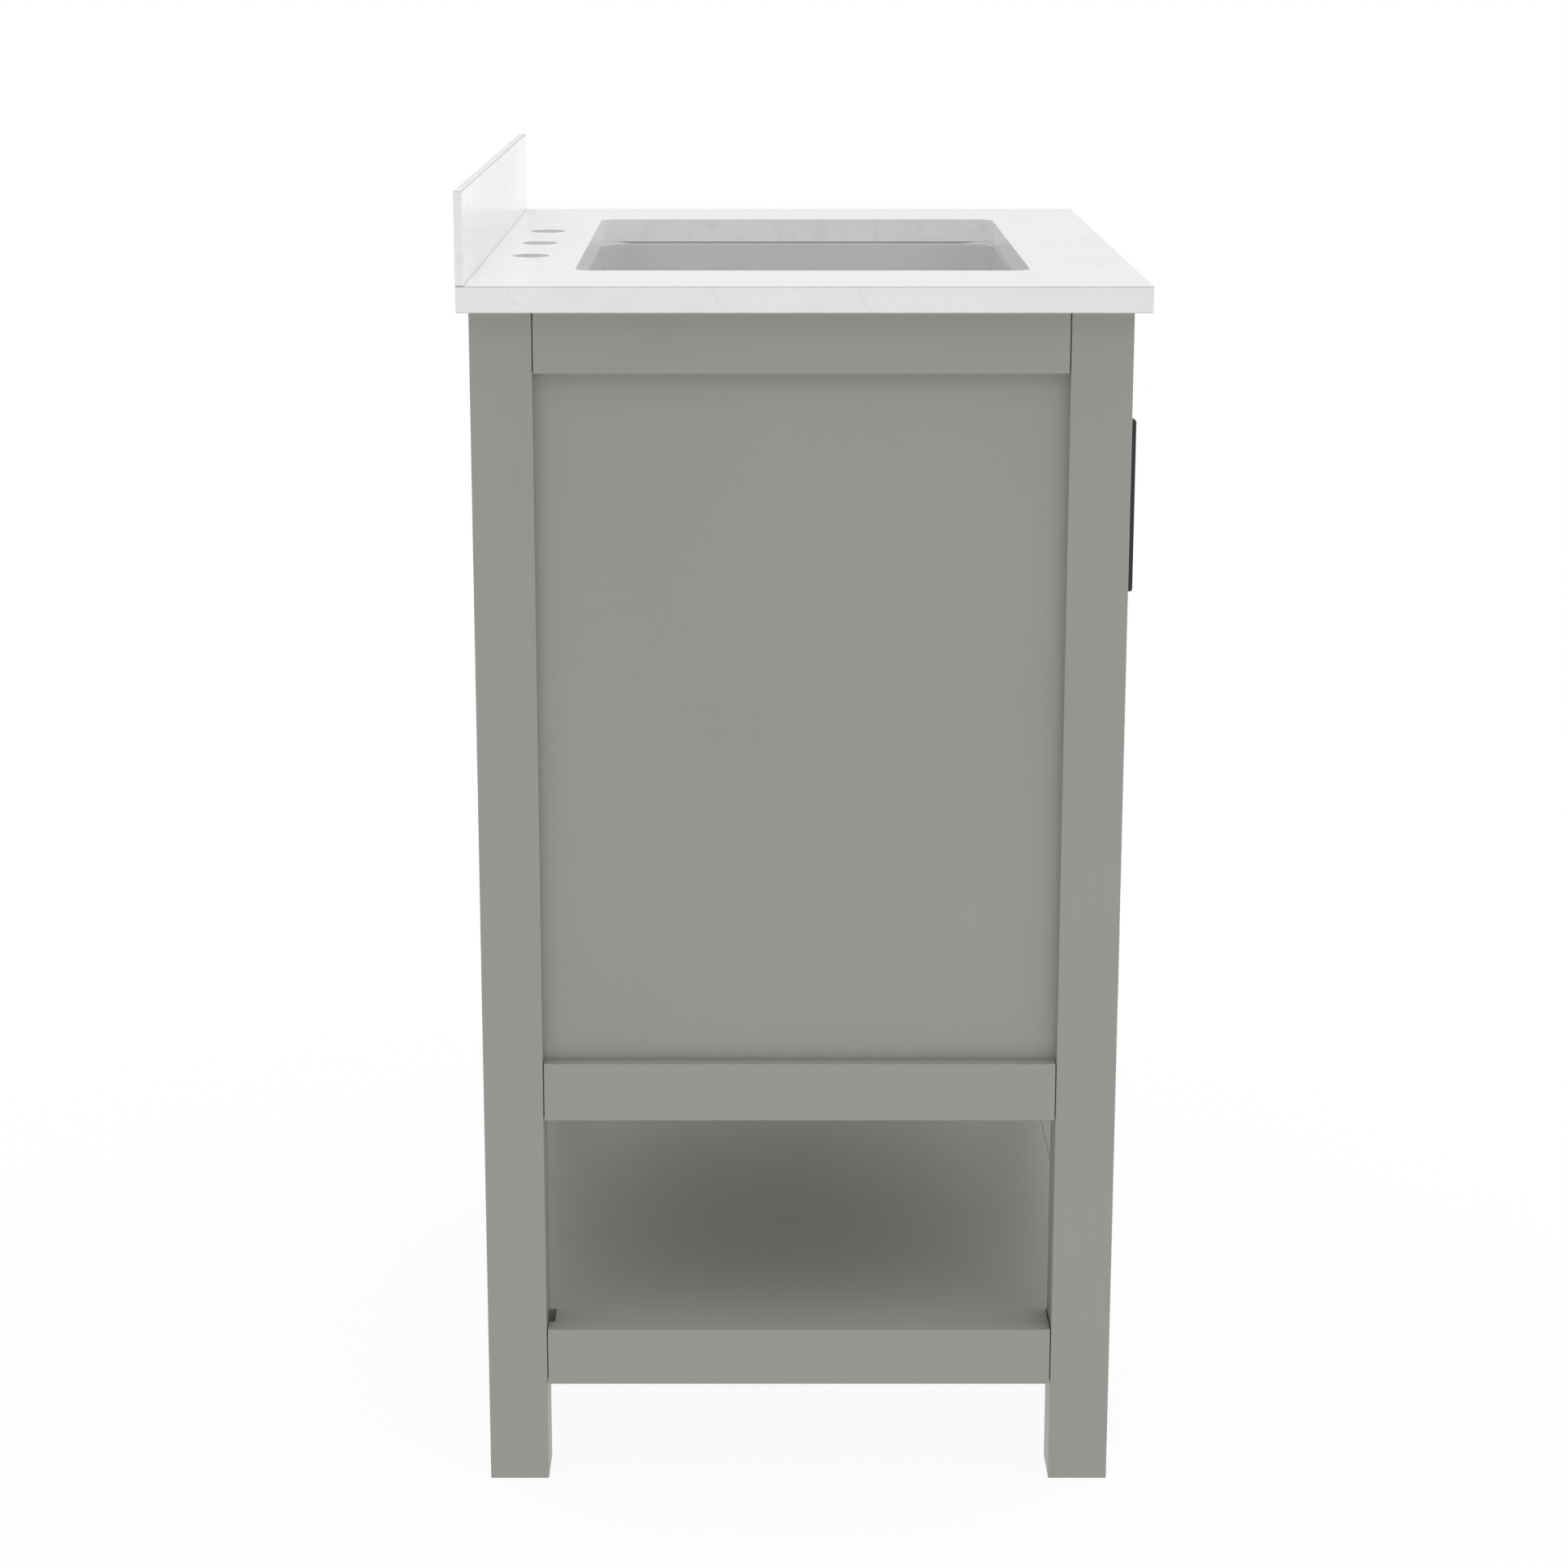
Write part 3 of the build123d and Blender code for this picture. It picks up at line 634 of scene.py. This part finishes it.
def makeBead():
    low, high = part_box("sink_basin")
    size = [high[i] - low[i] - 2 * (basin["flange"] - bead["inset"]) * mm for i in (0, 1)]
    thick = bead["thick"] * mm
    bm = bmesh.new()
    bmesh.ops.create_cube(bm, size=1.0)
    bmesh.ops.scale(bm, vec=(size[0], size[1], thick), verts=bm.verts)
    upright = [e for e in bm.edges if abs(e.verts[0].co.z - e.verts[1].co.z) > thick / 2]
    bevelEdges(bm, upright, bead["corner"] * mm, basin["segments"])
    bmesh.ops.delete(bm, geom=[f for f in bm.faces if isLevel(f)], context="FACES_ONLY")
    bmesh.ops.recalc_face_normals(bm, faces=bm.faces)
    bmesh.ops.solidify(bm, geom=bm.faces[:], thickness=-thick)
    bmesh.ops.recalc_face_normals(bm, faces=bm.faces)
    easeSharpEdges(bm, bead["round"] * mm, bead["segments"])
    middle = Vector(((low.x + high.x) / 2, (low.y + high.y) / 2, high.z - thick / 2))
    bmesh.ops.translate(bm, vec=middle, verts=bm.verts)
    finishPiece(bm, "basin_sealant", sealant, "cabinet", "basin_ceramic", sharpFrom=60)


makeBead()
print("sealant bead made")


# Pulls: the coating rounds every edge of the casting

pull = {"ease": 0.7, "segments": 3, "shortest": 3}
for side in ("left", "right"):
    bm = copyOfNode(f"pull_{side}")
    easeSharpEdges(bm, pull["ease"] * mm, pull["segments"], pull["shortest"] * mm)
    finishPiece(bm, f"bar_pull_{side}", coating, f"door_{side}", "dark_metal", f"pull_{side}")
print("pulls made")


# Boards and blocks: square, with every long edge broken by sanding, and the catches by their mould

board = {"ease": 0.5, "segments": 2, "shortest": 10}
boards = {
    "bottom_shelf": "grey_paint",
    "cupboard_floor": "grey_paint",
    "back_panel": "grey_paint",
    "corner_blocks": "raw_wood",
    "floor_cleats": "raw_wood",
    "shelf_cleats": "raw_wood",
    "magnetic_catches": "catch_plastic",
}
for nodeName, slotName in boards.items():
    bm = copyOfNode(nodeName)
    easeSharpEdges(bm, board["ease"] * mm, board["segments"], board["shortest"] * mm)
    finishPiece(bm, f"eased_{nodeName}", finishOf(nodeName), "cabinet", slotName, nodeName)
print("boards eased:", len(boards))


# Studio, in metres: a pale floor that fades to white, soft light from above and from both ends

studio = {
    "floorHalf": 40.0,
    "floorPaint": "f2f2f2",
    "fade": (0.8, 3.5),  # out from the middle
    "selfLight": 0.92,
    "ambient": (0.17, 1.42),  # the tent's walls are dim near the floor and bright from shoulder height
    "fullHeight": 0.90,
    "mirrored": 0.60,  # the least that reflections see of the white walls
    "brightWay": (0.10, -0.16, 0.0),  # and glow a little more in front of the doors and on the right
    "overhead": {"watts": 4.2, "size": (1.0, 1.6), "place": (0.5, -0.3, 2.9)},
    "frontEnd": {"watts": 2.8, "size": (0.5, 1.2), "place": (0.4, -2.9, 1.9)},
    "backEnd": {"watts": 2.0, "size": (0.5, 1.2), "place": (0.6, 2.9, 1.9)},
}


def makeFloor():
    bm = bmesh.new()
    bmesh.ops.create_grid(bm, x_segments=1, y_segments=1, size=studio["floorHalf"])
    mesh = bpy.data.meshes.new("studio_floor")
    bm.to_mesh(mesh)
    bm.free()
    floor = bpy.data.objects.new("studio_floor", mesh)
    bpy.context.scene.collection.objects.link(floor)
    material, tree, place = startMaterial("pale_studio_floor")
    away = addNode(tree, "ShaderNodeVectorMath", links={0: place}, operation="LENGTH")
    fade = addNode(tree, "ShaderNodeMapRange", spread(studio["fade"], (studio["selfLight"], 1.0)),
                   {0: away.outputs["Value"]})
    paint = addNode(tree, "ShaderNodeBsdfDiffuse", {"Color": hexToLinear(studio["floorPaint"])})
    glow = addNode(tree, "ShaderNodeEmission", {"Strength": 1.0})
    mixed = addNode(tree, "ShaderNodeMixShader",
                    links={0: fade.outputs[0], 1: paint.outputs[0], 2: glow.outputs[0]})
    addNode(tree, "ShaderNodeOutputMaterial", links={"Surface": mixed.outputs[0]})
    mesh.materials.append(material)


def makeWorld():
    world = bpy.data.worlds.new("white_studio")
    bpy.context.scene.world = world
    world.use_nodes = True
    tree = world.node_tree
    tree.nodes.clear()
    way = addNode(tree, "ShaderNodeTexCoord")
    height = addNode(tree, "ShaderNodeSeparateXYZ", links={0: way.outputs["Generated"]})
    glow = addNode(tree, "ShaderNodeMapRange", spread((0.0, studio["fullHeight"]), studio["ambient"]),
                   {0: height.outputs[2]}, interpolation_type="SMOOTHSTEP")
    towards = addNode(tree, "ShaderNodeVectorMath", {1: studio["brightWay"]}, {0: way.outputs["Generated"]},
                      operation="DOT_PRODUCT")
    wall = addNode(tree, "ShaderNodeMath", links={0: glow.outputs[0], 1: towards.outputs["Value"]},
                   operation="ADD")
    ray = addNode(tree, "ShaderNodeLightPath")
    mirrored = addNode(tree, "ShaderNodeMath", {1: studio["mirrored"]}, {0: ray.outputs["Is Glossy Ray"]},
                       operation="MULTIPLY")
    graded = addNode(tree, "ShaderNodeMath", links={0: wall.outputs[0], 1: mirrored.outputs[0]},
                     operation="MAXIMUM")
    level = addNode(tree, "ShaderNodeMapRange", {4: 1.0},
                    {0: ray.outputs["Is Camera Ray"], 3: graded.outputs[0]})
    sky = addNode(tree, "ShaderNodeBackground", {"Color": (1, 1, 1, 1)}, {"Strength": level.outputs[0]})
    addNode(tree, "ShaderNodeOutputWorld", links={"Surface": sky.outputs[0]})


def makeLight(name, watts, size, place):
    light = bpy.data.lights.new(name, "AREA")
    light.shape = "RECTANGLE"
    light.size, light.size_y = size
    light.energy = watts
    lamp = bpy.data.objects.new(name, light)
    bpy.context.scene.collection.objects.link(lamp)
    target = (cadLow + cadHigh) / 2
    lamp.location = place
    lamp.rotation_euler = (target - Vector(place)).to_track_quat("-Z", "Y").to_euler()


view = {"lens": 76.6, "place": (-2.600, 0.040, 1.131), "pitch": 12.94, "shift": (0.0141, -0.06)}
film = {"width": 36.0, "farthest": 200.0}


def makeCamera():
    data = bpy.data.cameras.new("side_view")
    data.sensor_width = film["width"]
    data.lens = view["lens"]
    data.shift_x, data.shift_y = view["shift"]
    data.clip_end = film["farthest"]
    camera = bpy.data.objects.new("side_view", data)
    bpy.context.scene.collection.objects.link(camera)
    camera.location = view["place"]
    camera.rotation_euler = (radians(90 - view["pitch"]), 0, radians(-90))
    bpy.context.scene.camera = camera


makeFloor()
makeWorld()
for name in ("overhead", "frontEnd", "backEnd"):
    makeLight(name, **studio[name])
makeCamera()
bpy.context.scene.view_settings.view_transform = "Standard"
print("studio ready")
